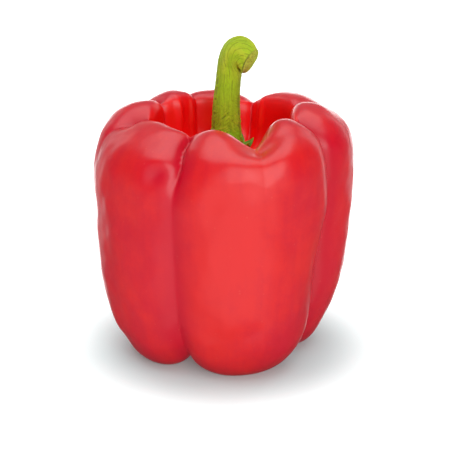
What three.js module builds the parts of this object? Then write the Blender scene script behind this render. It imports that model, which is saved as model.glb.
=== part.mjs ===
// Bell pepper: a lobed fruit that stands on its foot lobes, with a calyx and a hooked stem in its hollow top.
// Lengths are in millimetres and angles in degrees. +Z is up.
// Angle 0 is the side turned to the viewer (-Y), and angles grow towards +X.
import * as THREE from 'three';

// Number of facets of each piece
const FRUIT_COLUMNS = 80;
const FRUIT_ROWS = 48;
const CALYX_COLUMNS = 63;
const CALYX_RINGS = 5;
const STEM_SIDES = 24;
const STEM_STEPS = 2;

// Profile of the fruit, as control points [radius, height] from the middle of the foot,
// up the side, over the rim and down to the floor of the hollow
const PROFILE = [
  [0, 7],
  [10, 5.5],
  [21, -2.8],
  [31.5, 0.5],
  [38.5, 17],
  [41.2, 37],
  [42.3, 57],
  [42, 74],
  [29, 83.2],
  [18.8, 82.4],
  [21.2, 68],
  [13.5, 61.8],
  [0, 64.6],
];

// Places along the profile, as a share of its length, at which the depth of a crease is stated:
// foot, low belly, belly, shoulder, rim, hollow
const CREASE_LEVELS = [0.17, 0.33, 0.5, 0.59, 0.665, 0.8];

// Heights at which the reach of a lobe is stated
const REACH_HEIGHTS = [5, 35, 68];

// How tightly a lobe keeps to its own angle
const LOBE_FOCUS = 10;

// Lobes: how far each reaches out at the three heights, and how far its crest is raised
const LOBES = [
  { name: 'front left', angle: -11, reach: [-0.5, 0, -0.5], crest: -0.2 },
  { name: 'front right', angle: 41, reach: [-1, -1.2, 0.5], crest: 1.8 },
  { name: 'right front', angle: 84, reach: [-2, -0.9, -0.6], crest: 1.3 },
  { name: 'right back', angle: 135, reach: [-1.5, 0, 0.7], crest: 0.2 },
  { name: 'back right', angle: 185, reach: [0, 0, 0], crest: -1.2 },
  { name: 'back left', angle: 223, reach: [0, 0, 0], crest: 1 },
  { name: 'left back', angle: 253, reach: [1.5, 1.6, 2.2], crest: 1.8 },
  { name: 'left front', angle: 305, reach: [2, 2, 1], crest: -2.5 },
];

// Creases between lobes, and notches in the rim of a lobe. Depth and lean are stated at the six levels.
// Width and softness (the rounding at the bottom) are stated at the foot, the belly and the rim.
// Skew widens the left and the right cheek. A drop notch lowers the skin straight down,
// and the others press it inwards.
const CREASES = [
  {
    name: 'front left crease', angle: -29, depth: [7, 5, 4, 7, 7, 3], lean: [0, 2, 3, 4, 1, 0],
    width: [34, 45, 32], softness: [2, 16, 1.2], skew: [1, 1],
  },
  {
    name: 'front notch', angle: 16, depth: [0, 0, 0, 1.5, 6.8, 6.8], lean: [0, 0, 0, 0, 1.5, 8],
    width: [24, 24, 32], softness: [14, 14, 13], skew: [1.2, 0.8], drop: true,
  },
  {
    name: 'front notch groove', angle: 16, depth: [0, 0, 0.4, 1.2, 0.6, 0], lean: [0, 0, 0, 0, 0, 0],
    width: [28, 28, 28], softness: [16, 16, 12], skew: [1, 1],
  },
  {
    name: 'front right crease', angle: 62, depth: [9, 9, 9, 9, 9, 3], lean: [0, 0, 0, 0, 0, 0],
    width: [45, 45, 32], softness: [2, 2, 1.2], skew: [1, 1],
  },
  {
    name: 'right notch', angle: 108, depth: [0, 0, 0, 0.8, 3.5, 2], lean: [0, 0, 0, 0, 0, 0],
    width: [20, 20, 22], softness: [2, 2, 2], skew: [1, 1],
  },
  {
    name: 'back right crease', angle: 160, depth: [8, 7, 6, 7, 7, 3], lean: [0, 0, 0, 0, 0, 0],
    width: [45, 45, 28], softness: [2, 4, 1.2], skew: [1, 1],
  },
  {
    name: 'back notch', angle: 209, depth: [0, 0, 0, 0.8, 2.5, 2], lean: [0, 0, 0, 0, 0, 0],
    width: [20, 20, 22], softness: [4, 4, 4], skew: [1, 1],
  },
  {
    name: 'back left crease', angle: 242, depth: [8, 7, 6, 7, 8, 3], lean: [0, 0, 0, 0, 0, 0],
    width: [45, 45, 28], softness: [2, 4, 1.2], skew: [1, 1],
  },
  {
    name: 'left notch', angle: 278, depth: [0, 0, 0, 1.2, 5, 3], lean: [0, 0, 0, 0, 0, 0],
    width: [24, 24, 26], softness: [3, 3, 3], skew: [1, 1],
  },
];

// Shallow dents, or swellings where the depth is below 0:
// middle angle, place along the profile, half sizes and depth
const DENTS = [
  { name: 'front right waist', angle: 52, level: 0.4, wide: 14, tall: 0.05, depth: 1.2 },
  { name: 'left dimple', angle: -35, level: 0.57, wide: 5, tall: 0.022, depth: 1.3 },
  { name: 'front saddle', angle: 19, level: 0.725, wide: 12, tall: 0.035, depth: 3.2 },
  { name: 'left waist', angle: 268, level: 0.465, wide: 20, tall: 0.045, depth: 0.7 },
  { name: 'left haunch', angle: 270, level: 0.36, wide: 24, tall: 0.05, depth: -0.9 },
];

// Calyx: a shallow cup round the foot of the stem, with pointed teeth
const CALYX_CENTRE = [-0.5, 0];
const CALYX_FLOOR = 64.4;
const CALYX_EDGE_RADIUS = 6.7;
const CALYX_TIP_RADIUS = 9.7;
const CALYX_RISE = 7.2;
const CALYX_THICK = 1.1;
const CALYX_THIN = 0.6;
const TOOTH_HALF_WIDTH = 29;
const TOOTH_POWER = 0.75;
const TEETH = [
  { angle: 46, size: 1 },
  { angle: 104, size: 0.8 },
  { angle: 152, size: 0.95 },
  { angle: 207, size: 0.85 },
  { angle: 256, size: 1 },
  { angle: 309, size: 0.8 },
  { angle: 358, size: 0.9 },
];

// Stem: sections from its foot to the cut end. Each has a centre, a lean and a radius.
// The hook turns towards the viewer as it leans, by STEM_TURN at the cut end.
const STEM_TURN = 29;
const FULL_LEAN = 115;
const STEM_RIBS = 6;
const STEM_RIB_HEIGHT = 0.16;
const CUT_DOME = 0.3;
const STEM_SECTIONS = [
  { centre: [-0.5, 0, 66.6], lean: 0, radius: 3.4 },
  { centre: [-0.5, 0, 67.6], lean: 0, radius: 4.9 },
  { centre: [-0.5, 0, 69.4], lean: 0, radius: 5.3 },
  { centre: [-0.5, 0, 73], lean: 0, radius: 4.9 },
  { centre: [-0.5, 0, 77.5], lean: 0, radius: 4.5 },
  { centre: [-0.4, 0, 83], lean: 0, radius: 4.2 },
  { centre: [-0.1, 0, 88], lean: 4, radius: 3.95 },
  { centre: [0.3, 0, 92], lean: 14, radius: 3.9 },
  { centre: [0.8, -0.2, 95.8], lean: 36, radius: 4.35 },
  { centre: [1.8, -0.6, 98.7], lean: 62, radius: 4.8 },
  { centre: [3.8, -1.2, 99.9], lean: 86, radius: 4.9 },
  { centre: [5.7, -2, 99.1], lean: 103, radius: 4.75 },
  { centre: [7, -2.7, 97.2], lean: 115, radius: 4.35 },
];

const RADIAN = Math.PI / 180;

// A step from 0 to 1 between two limits, with soft ends
function softStep(low, high, value) {
  const share = Math.min(1, Math.max(0, (value - low) / (high - low)));
  return share * share * (3 - 2 * share);
}

// A value that passes through the stated values, softly from one place to the next
function softCourse(values, places, place) {
  let result = values[0];
  for (let i = 0; i + 1 < places.length; i += 1) {
    result += (values[i + 1] - values[i]) * softStep(places[i], places[i + 1], place);
  }
  return result;
}

// An angle brought to between -180 and 180
function turned(angle) {
  return ((((angle + 180) % 360) + 360) % 360) - 180;
}

// Point and direction of the fruit's profile at a share of its length: a uniform cubic B-spline,
// mirrored at its ends so that the surface is smooth at both poles
function profileAt(level) {
  const count = PROFILE.length - 1;
  const place = Math.min(1, Math.max(0, level)) * count;
  const span = Math.min(Math.floor(place), count - 1);
  const f = place - span;
  const weights = [(1 - f) ** 3, 3 * f ** 3 - 6 * f ** 2 + 4, -3 * f ** 3 + 3 * f ** 2 + 3 * f + 1, f ** 3];
  const slopes = [-3 * (1 - f) ** 2, 9 * f ** 2 - 12 * f, -9 * f ** 2 + 6 * f + 3, 3 * f ** 2];
  const point = [0, 0];
  const slope = [0, 0];
  for (let k = 0; k < 4; k += 1) {
    const index = span + k - 1;
    let control = PROFILE[Math.min(Math.max(index, 0), count)];
    if (index < 0) {
      control = [-PROFILE[1][0], PROFILE[1][1]];
    }
    if (index > count) {
      control = [-PROFILE[count - 1][0], PROFILE[count - 1][1]];
    }
    for (let axis = 0; axis < 2; axis += 1) {
      point[axis] += (weights[k] * control[axis]) / 6;
      slope[axis] += (slopes[k] * control[axis]) / 6;
    }
  }
  return { radius: point[0], height: point[1], slope };
}

// Depth of one crease: two round cheeks that meet in a valley
function creaseDepth(crease, angle, level) {
  const places = [0, ...CREASE_LEVELS, 1];
  const lean = softCourse([0, ...crease.lean, 0], places, level);
  const away = turned(angle - crease.angle - lean);
  const [low, middle, high] = crease.width;
  let width = low + (middle - low) * softStep(0.2, 0.45, level) + (high - middle) * softStep(0.5, 0.66, level);
  width *= away < 0 ? crease.skew[0] : crease.skew[1];
  const [softLow, softMiddle, softHigh] = crease.softness;
  const soft = softLow + (softMiddle - softLow) * softStep(0.2, 0.42, level)
    + (softHigh - softMiddle) * softStep(0.45, 0.57, level);
  const distance = Math.sqrt(away * away + soft * soft) - soft;
  const closeness = 1 - Math.min(1, distance / width);
  const cheek = 1 - Math.sqrt(1 - closeness * closeness);
  return softCourse([0, ...crease.depth, 0], places, level) * cheek;
}

// Point of the fruit's skin at an angle and a share of the profile's length
function skinPoint(angle, level) {
  const { radius, height, slope } = profileAt(level);
  const length = Math.hypot(slope[0], slope[1]) + 1e-9;
  const outward = [slope[1] / length, -slope[0] / length];
  let total = 0;
  let reach = 0;
  let crest = 0;
  for (const lobe of LOBES) {
    const weight = Math.exp(LOBE_FOCUS * (Math.cos((angle - lobe.angle) * RADIAN) - 1));
    total += weight;
    reach += weight * softCourse(lobe.reach, REACH_HEIGHTS, height);
    crest += weight * lobe.crest;
  }
  let rho = radius + (reach / total) * softStep(0, 24, radius);
  let z = height + (crest / total) * softStep(40, 82, height) * softStep(8, 24, radius);
  let depth = 0;
  let drop = 0;
  for (const crease of CREASES) {
    const part = creaseDepth(crease, angle, level);
    depth += crease.drop ? 0 : part;
    drop += crease.drop ? part : 0;
  }
  for (const dent of DENTS) {
    const across = turned(angle - dent.angle) / dent.wide;
    const along = (level - dent.level) / dent.tall;
    depth += dent.depth * Math.exp(-(across * across + along * along));
  }
  rho -= outward[0] * depth;
  z -= outward[1] * depth + drop;
  const turn = angle * RADIAN;
  return [rho * Math.sin(turn), -rho * Math.cos(turn), Math.max(z, 0)];
}

// A closed surface from rings of points that run anticlockwise seen from the end, with a point at each end
function closedSurface(start, rings, end) {
  const count = rings[0].length;
  const points = [start, ...rings.flat(), end];
  const faces = [];
  for (let i = 0; i < count; i += 1) {
    const next = (i + 1) % count;
    faces.push(0, 1 + next, 1 + i);
    for (let r = 0; r + 1 < rings.length; r += 1) {
      const here = 1 + r * count;
      const there = here + count;
      faces.push(here + i, here + next, there + next);
      faces.push(here + i, there + next, there + i);
    }
    const last = 1 + (rings.length - 1) * count;
    faces.push(last + i, last + next, points.length - 1);
  }
  const geometry = new THREE.BufferGeometry();
  geometry.setAttribute('position', new THREE.Float32BufferAttribute(points.flat(), 3));
  geometry.setIndex(faces);
  return geometry;
}

// The fruit: one solid, from the middle of the foot to the floor of the hollow
function fruitGeometry() {
  const rings = [];
  for (let r = 1; r < FRUIT_ROWS; r += 1) {
    const ring = [];
    for (let i = 0; i < FRUIT_COLUMNS; i += 1) {
      ring.push(skinPoint((i * 360) / FRUIT_COLUMNS, r / FRUIT_ROWS));
    }
    rings.push(ring);
  }
  return closedSurface(skinPoint(0, 0), rings, skinPoint(0, 1));
}

// How far the calyx reaches into a tooth at an angle, from 0 to 1
function toothAt(angle) {
  let size = 0;
  for (const tooth of TEETH) {
    const away = Math.abs(turned(angle - tooth.angle)) / TOOTH_HALF_WIDTH;
    size = Math.max(size, tooth.size * Math.max(0, 1 - away) ** TOOTH_POWER);
  }
  return size;
}

// Point of the calyx at an angle, a share of the way out and a height above its underside
function calyxPoint(angle, share, lift) {
  const edge = CALYX_EDGE_RADIUS + (CALYX_TIP_RADIUS - CALYX_EDGE_RADIUS) * toothAt(angle);
  const radius = edge * share;
  const rise = CALYX_RISE * (radius / CALYX_TIP_RADIUS) ** 2.2;
  const turn = angle * RADIAN;
  return [
    CALYX_CENTRE[0] + radius * Math.sin(turn),
    CALYX_CENTRE[1] - radius * Math.cos(turn),
    CALYX_FLOOR + rise + lift,
  ];
}

// The calyx: underside outwards from the middle, then the upper side back to the middle
function calyxGeometry() {
  const rings = [];
  for (let side = 0; side < 2; side += 1) {
    for (let r = 1; r <= CALYX_RINGS; r += 1) {
      const share = (side === 0 ? r : CALYX_RINGS + 1 - r) / CALYX_RINGS;
      const lift = side * (CALYX_THICK + (CALYX_THIN - CALYX_THICK) * share * share);
      const ring = [];
      for (let i = 0; i < CALYX_COLUMNS; i += 1) {
        ring.push(calyxPoint((i * 360) / CALYX_COLUMNS, share, lift));
      }
      rings.push(ring);
    }
  }
  return closedSurface(calyxPoint(0, 0, 0), rings, calyxPoint(0, 0, CALYX_THICK));
}

// A value between two stations of the stem, smooth through the stations
function through(a, b, c, d, f) {
  return 0.5 * (2 * b + (c - a) * f + (2 * a - 5 * b + 4 * c - d) * f ** 2 + (3 * b - a - 3 * c + d) * f ** 3);
}

// All sections of the stem, in small steps
function stemSections() {
  const rows = STEM_SECTIONS.map((section) => [...section.centre, section.lean, section.radius]);
  const last = rows.length - 1;
  const sections = [];
  for (let i = 0; i < last; i += 1) {
    const four = [rows[Math.max(i - 1, 0)], rows[i], rows[i + 1], rows[Math.min(i + 2, last)]];
    for (let k = 0; k < STEM_STEPS; k += 1) {
      sections.push(rows[0].map((_, j) => through(...four.map((row) => row[j]), k / STEM_STEPS)));
    }
  }
  sections.push(rows[last]);
  return sections;
}

// Level directions of the stem where it has a lean: the side it leans to, and across that
function stemSides(lean) {
  const turn = ((STEM_TURN * lean) / FULL_LEAN) * RADIAN;
  return {
    side: new THREE.Vector3(Math.cos(turn), -Math.sin(turn), 0),
    across: new THREE.Vector3(Math.sin(turn), Math.cos(turn), 0),
  };
}

// The stem: ribbed rings through its sections, closed at the foot and slightly domed at the cut end
function stemGeometry() {
  const up = new THREE.Vector3(0, 0, 1);
  const sections = stemSections();
  const rings = sections.map(([x, y, z, lean, radius]) => {
    const { side, across } = stemSides(lean);
    const outer = side.clone().multiplyScalar(-Math.cos(lean * RADIAN));
    outer.addScaledVector(up, Math.sin(lean * RADIAN));
    const ring = [];
    for (let i = 0; i < STEM_SIDES; i += 1) {
      const angle = (-i * 2 * Math.PI) / STEM_SIDES;
      const reach = radius + STEM_RIB_HEIGHT * Math.cos(STEM_RIBS * angle);
      const point = new THREE.Vector3(x, y, z);
      point.addScaledVector(outer, reach * Math.cos(angle));
      point.addScaledVector(across, reach * Math.sin(angle));
      ring.push(point.toArray());
    }
    return ring;
  });
  const [footX, footY, footZ] = sections[0];
  const [endX, endY, endZ, endLean] = sections[sections.length - 1];
  const end = new THREE.Vector3(endX, endY, endZ);
  end.addScaledVector(stemSides(endLean).side, CUT_DOME * Math.sin(endLean * RADIAN));
  end.addScaledVector(up, CUT_DOME * Math.cos(endLean * RADIAN));
  return closedSurface([footX, footY, footZ], rings, end.toArray());
}

// A named piece with its own material
function piece(name, geometry, colour, roughness) {
  geometry.computeVertexNormals();
  const material = new THREE.MeshStandardMaterial({ color: colour, roughness, metalness: 0 });
  const mesh = new THREE.Mesh(geometry, material);
  mesh.name = name;
  return mesh;
}

const pepper = new THREE.Group();
pepper.name = 'bell_pepper';
pepper.add(piece('fruit', fruitGeometry(), 0xd9303a, 0.28));
pepper.add(piece('calyx', calyxGeometry(), 0x4d6a1a, 0.6));
pepper.add(piece('stem', stemGeometry(), 0x93a02e, 0.62));

// The origin is under the middle of the whole object, at the height of its feet
const box = new THREE.Box3().setFromObject(pepper);
const middle = box.getCenter(new THREE.Vector3());
for (const mesh of pepper.children) {
  mesh.geometry.translate(-middle.x, -middle.y, -box.min.z);
}

export default pepper;
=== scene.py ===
import math

import bpy
import numpy as np
from bpy.props import FloatProperty, FloatVectorProperty, IntProperty, PointerProperty
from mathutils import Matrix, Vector


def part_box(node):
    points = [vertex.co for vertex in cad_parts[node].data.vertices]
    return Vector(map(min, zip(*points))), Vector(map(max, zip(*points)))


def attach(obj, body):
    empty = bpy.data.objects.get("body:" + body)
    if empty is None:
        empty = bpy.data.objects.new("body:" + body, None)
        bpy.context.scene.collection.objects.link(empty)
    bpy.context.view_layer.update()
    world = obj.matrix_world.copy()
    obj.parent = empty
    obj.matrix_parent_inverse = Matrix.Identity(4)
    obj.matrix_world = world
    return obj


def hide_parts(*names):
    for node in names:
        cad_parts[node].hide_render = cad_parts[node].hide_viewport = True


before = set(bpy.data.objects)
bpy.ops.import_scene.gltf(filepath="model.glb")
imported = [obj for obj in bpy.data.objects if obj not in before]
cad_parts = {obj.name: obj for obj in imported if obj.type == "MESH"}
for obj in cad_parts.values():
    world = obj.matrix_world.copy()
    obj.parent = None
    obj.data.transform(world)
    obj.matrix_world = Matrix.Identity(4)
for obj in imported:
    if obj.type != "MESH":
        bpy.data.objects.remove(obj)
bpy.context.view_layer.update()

bl_info = {
    "name": "Bell Pepper",
    "version": (1, 0, 0),
    "blender": (4, 5, 0),
    "location": "3D View > Sidebar > Pepper",
    "description": "A lobed red bell pepper with its calyx and hooked stem",
    "category": "Object",
}

MM = 0.001
RADIAN = math.pi / 180

# Profile of the fruit in mm: control points [radius, height] from the middle of the foot,
# up the side, over the rim and down to the floor of the hollow
PROFILE = [
    [0, 7], [10, 5.5], [21, -2.8], [31.5, 0.5], [38.5, 17], [41.2, 37], [42.3, 57],
    [42, 74], [29, 83.2], [18.8, 82.4], [21.2, 68], [13.5, 61.8], [0, 64.6],
]

# Places along the profile where a crease's depth and lean are stated:
# foot, low belly, belly, shoulder, rim, hollow
CREASE_LEVELS = (0.17, 0.33, 0.5, 0.59, 0.665, 0.8)
LEVEL_NAMES = ("foot", "low belly", "belly", "shoulder", "rim", "hollow")
CHEEK_NAMES = ("foot", "belly", "rim")
REACH_HEIGHTS = (5, 35, 68)

# Lobes: name, middle angle, reach at the three heights, raised crest. Angle 0 is the front (-Y).
LOBES = [
    ("front left", -11, (-0.5, 0, -0.5), -0.2),
    ("front right", 41, (-1, -1.2, 0.5), 1.8),
    ("right front", 84, (-2, -0.9, -0.6), 1.3),
    ("right back", 135, (-1.5, 0, 0.7), 0.2),
    ("back right", 185, (0, 0, 0), -1.2),
    ("back left", 223, (0, 0, 0), 1),
    ("left back", 253, (1.5, 1.6, 2.2), 1.8),
    ("left front", 305, (2, 2, 1), -2.5),
]

# Creases and notches: name, middle angle, depth and lean at the six levels, width and softness at
# the foot, the belly and the rim, skew of the left and the right cheek, and whether it drops straight down
STRAIGHT = (0, 0, 0, 0, 0, 0)
EVEN = (1, 1)
CREASES = [
    ("front left crease", -29, (7, 5, 4, 7, 7, 3), (0, 2, 3, 4, 1, 0),
     (34, 45, 32), (2, 16, 1.2), EVEN, False),
    ("front notch", 16, (0, 0, 0, 1.5, 6.8, 6.8), (0, 0, 0, 0, 1.5, 8),
     (24, 24, 32), (14, 14, 13), (1.2, 0.8), True),
    ("front notch groove", 16, (0, 0, 0.4, 1.2, 0.6, 0), STRAIGHT, (28, 28, 28), (16, 16, 12), EVEN, False),
    ("front right crease", 62, (9, 9, 9, 9, 9, 3), STRAIGHT, (45, 45, 32), (2, 2, 1.2), EVEN, False),
    ("right notch", 108, (0, 0, 0, 0.8, 3.5, 2), STRAIGHT, (20, 20, 22), (2, 2, 2), EVEN, False),
    ("back right crease", 160, (8, 7, 6, 7, 7, 3), STRAIGHT, (45, 45, 28), (2, 4, 1.2), EVEN, False),
    ("back notch", 209, (0, 0, 0, 0.8, 2.5, 2), STRAIGHT, (20, 20, 22), (4, 4, 4), EVEN, False),
    ("back left crease", 242, (8, 7, 6, 7, 8, 3), STRAIGHT, (45, 45, 28), (2, 4, 1.2), EVEN, False),
    ("left notch", 278, (0, 0, 0, 1.2, 5, 3), STRAIGHT, (24, 24, 26), (3, 3, 3), EVEN, False),
]

# Shallow dents, or swellings where the depth is below 0: middle angle, level, half sizes and depth
DENTS = [
    ("front right waist", 52, 0.4, 14, 0.05, 1.2),
    ("left dimple", -35, 0.57, 5, 0.022, 1.3),
    ("front saddle", 19, 0.725, 12, 0.035, 3.2),
    ("hollow rib one", 214, 0.79, 3, 0.06, -1),
    ("hollow rib two", 229, 0.79, 3.5, 0.06, -1),
    ("hollow rib three", 150, 0.79, 3, 0.06, -0.8),
    ("left waist", 268, 0.465, 20, 0.045, 0.7),
    ("left haunch", 270, 0.36, 24, 0.05, -0.9),
]

# Teeth of the calyx: middle angle and size
TEETH = [(46, 1), (104, 0.8), (152, 0.95), (207, 0.85), (256, 1), (309, 0.8), (358, 0.9)]

# Sections of the stem in mm: centre x, y, z, lean and radius
STEM_SECTIONS = [
    [-0.5, 0, 66.6, 0, 3.4],
    [-0.5, 0, 67.6, 0, 4.9],
    [-0.5, 0, 69.4, 0, 5.3],
    [-0.5, 0, 73, 0, 4.9],
    [-0.5, 0, 77.5, 0, 4.5],
    [-0.4, 0, 83, 0, 4.2],
    [-0.1, 0, 88, 4, 3.95],
    [0.3, 0, 92, 14, 3.9],
    [0.8, -0.2, 95.8, 36, 4.35],
    [1.8, -0.6, 98.7, 62, 4.8],
    [3.8, -1.2, 99.9, 86, 4.9],
    [5.7, -2, 99.1, 103, 4.75],
    [7, -2.7, 97.2, 115, 4.35],
]
FULL_LEAN = 115

# Level of the stem's rim, where the cut face begins, turn of its fibres over the bend in radians,
# and angles of its two notched ridges
CUT_LEVEL = 0.9
FIBRE_TWIST = 2.4
RIDGE_ANGLES = (24, 158)

# Foot and top of the calyx on the stem's axis in mm
CALYX_X = -0.5
CALYX_FOOT = 64.4
CALYX_TOP = 65.5

# Low and high corner of the fruit's box round its growing axis: x and y in mm
GROWN_BOX = ((-43.16, -40.92), (41.04, 41.18))

# Places in the skin's colours: middle angle, level and half sizes. The front patch is lighter, partly the
# skin's own tone and partly painted light where the front light falls; the dimple gets painted shade
LIT_FRONT_PATCH = (4, 0.5, 32, 0.22)
DIMPLE_SHADE = (-35, 0.57, 5.5, 0.024)

# Stained side of the stem and browned low edge of its cut end, stated the same way
STAIN = (158, 0.3, 14, 0.16)
LOW_EDGE = (165, CUT_LEVEL, 32, 0.05)

# Shift of the camera's view both ways, as a share of its width
VIEW_SHIFT = -3 / 450


# Arithmetic on node sockets

class Term:
    """One value in a node tree, with the usual arithmetic."""

    def __init__(self, rule, socket):
        self.rule = rule
        self.socket = socket

    def __add__(self, other):
        return self.rule.math("ADD", self, other)

    def __radd__(self, other):
        return self.rule.math("ADD", other, self)

    def __sub__(self, other):
        return self.rule.math("SUBTRACT", self, other)

    def __rsub__(self, other):
        return self.rule.math("SUBTRACT", other, self)

    def __mul__(self, other):
        return self.rule.math("MULTIPLY", self, other)

    def __rmul__(self, other):
        return self.rule.math("MULTIPLY", other, self)

    def __truediv__(self, other):
        return self.rule.math("DIVIDE", self, other)

    def __rtruediv__(self, other):
        return self.rule.math("DIVIDE", other, self)

    def __neg__(self):
        return self.rule.math("MULTIPLY", self, -1)


class Rule:
    """Writes a rule into a geometry or material tree, node by node."""

    def __init__(self, tree):
        self.tree = tree

    def node(self, kind, inputs=None, **settings):
        """Add a node, set it up and feed its inputs by name or number."""
        node = self.tree.nodes.new(kind)
        for key, value in settings.items():
            setattr(node, key, value)
        for key, value in (inputs or {}).items():
            self.feed(node.inputs[key], value)
        return node

    def feed(self, socket, value):
        """Link a term to a socket, or set the socket's own number."""
        if isinstance(value, Term):
            self.tree.links.new(value.socket, socket)
        elif isinstance(value, bpy.types.NodeSocket):
            self.tree.links.new(value, socket)
        else:
            socket.default_value = value

    def math(self, operation, *values):
        node = self.node("ShaderNodeMath", dict(enumerate(values)), operation=operation)
        return Term(self, node.outputs[0])

    def step(self, low, high, value, start=0.0, end=1.0):
        """A soft step from start to end between two limits."""
        node = self.node(
            "ShaderNodeMapRange",
            {"Value": value, "From Min": low, "From Max": high, "To Min": start, "To Max": end},
            interpolation_type="SMOOTHSTEP",
        )
        return Term(self, node.outputs[0])

    def split(self, vector):
        node = self.node("ShaderNodeSeparateXYZ", {0: vector})
        return [Term(self, socket) for socket in node.outputs]

    def join(self, x, y, z):
        return Term(self, self.node("ShaderNodeCombineXYZ", {0: x, 1: y, 2: z}).outputs[0])

    def turned(self, angle):
        """An angle in degrees brought to between -180 and 180."""
        return self.math("WRAP", angle, 180, -180)

    def circle(self, angle):
        """Cosine and sine of an angle in radians."""
        return self.math("COSINE", angle), self.math("SINE", angle)

    def bell(self, x, y=0):
        """A soft bump of height 1 where x and y are 0."""
        return self.math("EXPONENT", -(x * x + y * y))

    def spot(self, angle, level, middle, place, wide, tall):
        """A bell round an angle and a level of a piece."""
        return self.bell(self.turned(angle - middle) / wide, (level - place) / tall)

    def noise(self, vector, scale, detail=2.0, roughness=0.5, seed=0.0, distortion=0.0):
        node = self.node(
            "ShaderNodeTexNoise",
            {"Vector": vector, "Scale": scale, "Detail": detail, "Roughness": roughness, "W": seed,
             "Distortion": distortion},
            noise_dimensions="4D",
        )
        return Term(self, node.outputs[0])

    def mix(self, share, first, second):
        """A colour between two colours."""
        node = self.node("ShaderNodeMix", {0: share, 6: first, 7: second}, data_type="RGBA")
        return Term(self, node.outputs[2])


# Geometry Nodes trees

def new_tree(name, inputs):
    """A geometry tree with a geometry socket each way and named float inputs."""
    tree = bpy.data.node_groups.new(name, "GeometryNodeTree")
    tree.interface.new_socket("Geometry", in_out="INPUT", socket_type="NodeSocketGeometry")
    tree.interface.new_socket("Geometry", in_out="OUTPUT", socket_type="NodeSocketGeometry")
    rule, source, given = begin(tree, inputs)
    return tree, rule, source.outputs[0], given


def new_group(name, inputs, outputs):
    """A node group of numbers, used inside a geometry tree."""
    tree = bpy.data.node_groups.new(name, "GeometryNodeTree")
    for output in outputs:
        tree.interface.new_socket(output, in_out="OUTPUT", socket_type="NodeSocketFloat")
    rule, _, given = begin(tree, inputs)
    return tree, rule, given


def begin(tree, inputs):
    """Add named float inputs to a tree and hand them over as terms."""
    for name, value in inputs.items():
        socket = tree.interface.new_socket(name, in_out="INPUT", socket_type="NodeSocketFloat")
        socket.default_value = value
    rule = Rule(tree)
    source = rule.node("NodeGroupInput")
    return rule, source, {key: Term(rule, source.outputs[key]) for key in inputs}


def end_tree(rule, geometry, material):
    """Smooth shading, real instances and the material, then the output."""
    smooth = rule.node("GeometryNodeSetShadeSmooth", {"Geometry": geometry})
    real = rule.node("GeometryNodeRealizeInstances", {"Geometry": smooth.outputs[0]})
    dressed = rule.node("GeometryNodeSetMaterial", {"Geometry": real.outputs[0], "Material": material})
    rule.node("NodeGroupOutput", {0: dressed.outputs[0]})


def store(rule, geometry, name, value):
    """Keep a number on every point, for the material."""
    node = rule.node("GeometryNodeStoreNamedAttribute", {"Geometry": geometry, "Name": name},
                     data_type="FLOAT", domain="POINT")
    rule.feed(node.inputs["Value"], value)
    return node.outputs[0]


def named(rule, name):
    node = rule.node("GeometryNodeInputNamedAttribute", {"Name": name}, data_type="FLOAT")
    return Term(rule, node.outputs[0])


def raised(rule, geometry, height):
    """Move every point along its normal by a height in mm."""
    normal = rule.node("GeometryNodeInputNormal").outputs[0]
    offset = rule.node("ShaderNodeVectorMath", {0: normal, "Scale": height * MM}, operation="SCALE")
    moved = rule.node("GeometryNodeSetPosition", {"Geometry": geometry, "Offset": offset.outputs[0]})
    return moved.outputs[0]


def grow(piece, tree, values):
    """Run a tree on a piece with named values and keep the result as a plain mesh."""
    modifier = piece.modifiers.new(tree.name, "NODES")
    modifier.node_group = tree
    for item in tree.interface.items_tree:
        if item.in_out == "INPUT" and item.name in values:
            modifier[item.identifier] = values[item.name]
    depsgraph = bpy.context.evaluated_depsgraph_get()
    finished = bpy.data.meshes.new_from_object(
        piece.evaluated_get(depsgraph), preserve_all_data_layers=True, depsgraph=depsgraph)
    piece.modifiers.clear()
    rough = piece.data
    finished.name = piece.name
    piece.data = finished
    bpy.data.meshes.remove(rough)


def wrapped_piece(name, start, rings, end, levels):
    """A closed skin of rings with a point at each end, its levels and a wrap-round UV map."""
    count, columns = rings.shape[:2]
    points = np.vstack([[start], rings.reshape(-1, 3), [end]]) * MM
    column = np.arange(columns)
    following = (column + 1) % columns
    faces = []
    corners = []
    for i, j in zip(column, following):
        faces.append((0, 1 + j, 1 + i))
        corners += [((i + 0.5) / columns, 0), ((i + 1) / columns, levels[0]), (i / columns, levels[0])]
    for r in range(count - 1):
        here = 1 + r * columns
        there = here + columns
        low, high = levels[r], levels[r + 1]
        for i, j in zip(column, following):
            faces.append((here + i, here + j, there + j, there + i))
            left, right = i / columns, (i + 1) / columns
            corners += [(left, low), (right, low), (right, high), (left, high)]
    last = 1 + (count - 1) * columns
    for i, j in zip(column, following):
        faces.append((last + i, last + j, len(points) - 1))
        corners += [(i / columns, levels[-1]), ((i + 1) / columns, levels[-1]), ((i + 0.5) / columns, 1)]
    mesh = bpy.data.meshes.new(name)
    mesh.from_pydata(points.tolist(), [], faces)
    level = mesh.attributes.new("level", "FLOAT", "POINT")
    level.data.foreach_set("value", np.concatenate([[0], np.repeat(levels, columns), [1]]).astype(np.float32))
    around = mesh.attributes.new("around", "FLOAT", "POINT")
    turn = np.concatenate([[0], np.tile(column * 360 / columns, count), [0]])
    around.data.foreach_set("value", turn.astype(np.float32))
    wrap = mesh.uv_layers.new(name="Wrap")
    wrap.data.foreach_set("uv", np.array(corners, dtype=np.float32).ravel())
    piece = bpy.data.objects.new(name, mesh)
    bpy.context.scene.collection.objects.link(piece)
    return piece


def shift_to_frame(piece, offset):
    """Move a piece's points from the growing axis to the frame's origin."""
    count = len(piece.data.vertices)
    points = np.empty(count * 3, dtype=np.float32)
    piece.data.vertices.foreach_get("co", points)
    points = points.reshape(-1, 3) + np.array(offset, dtype=np.float32)
    piece.data.vertices.foreach_set("co", points.ravel())
    piece.data.update()


# The fruit

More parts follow.
